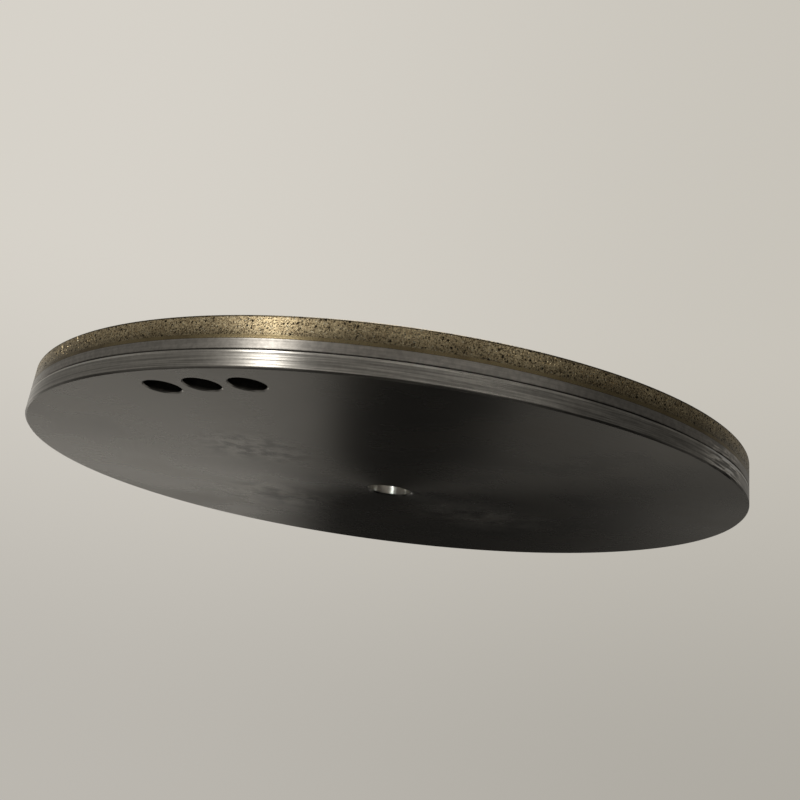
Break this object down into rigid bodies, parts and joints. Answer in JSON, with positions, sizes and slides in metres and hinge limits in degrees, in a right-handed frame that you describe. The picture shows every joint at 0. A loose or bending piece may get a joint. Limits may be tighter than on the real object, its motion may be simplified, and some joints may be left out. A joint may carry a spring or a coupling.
{
  "type": "diamond flat lap disc",
  "caption": "Flat round lap disc: bored steel base and carrier plates with a sintered diamond bronze ring on the working face and balance holes drilled in the back.",
  "frame": {"origin": "centre of the back face, on the bore's axis", "axes": "+Z along the bore's axis, out of the working face; the balance holes lie towards -Y, a little to -X"},
  "size_m": [0.2, 0.2, 0.0111],
  "materials": {
    "base_steel": "turned and ground",
    "carrier_steel": "fine turned",
    "plain_bronze": "dull turned bronze",
    "diamond_bronze": "porous sintered bronze with grit"
  },
  "bodies": {
    "root": {"base_plate": "base_steel", "carrier_plate": "carrier_steel", "plain_bronze_ring": "plain_bronze", "diamond_ring": "diamond_bronze"}
  },
  "joints": []
}
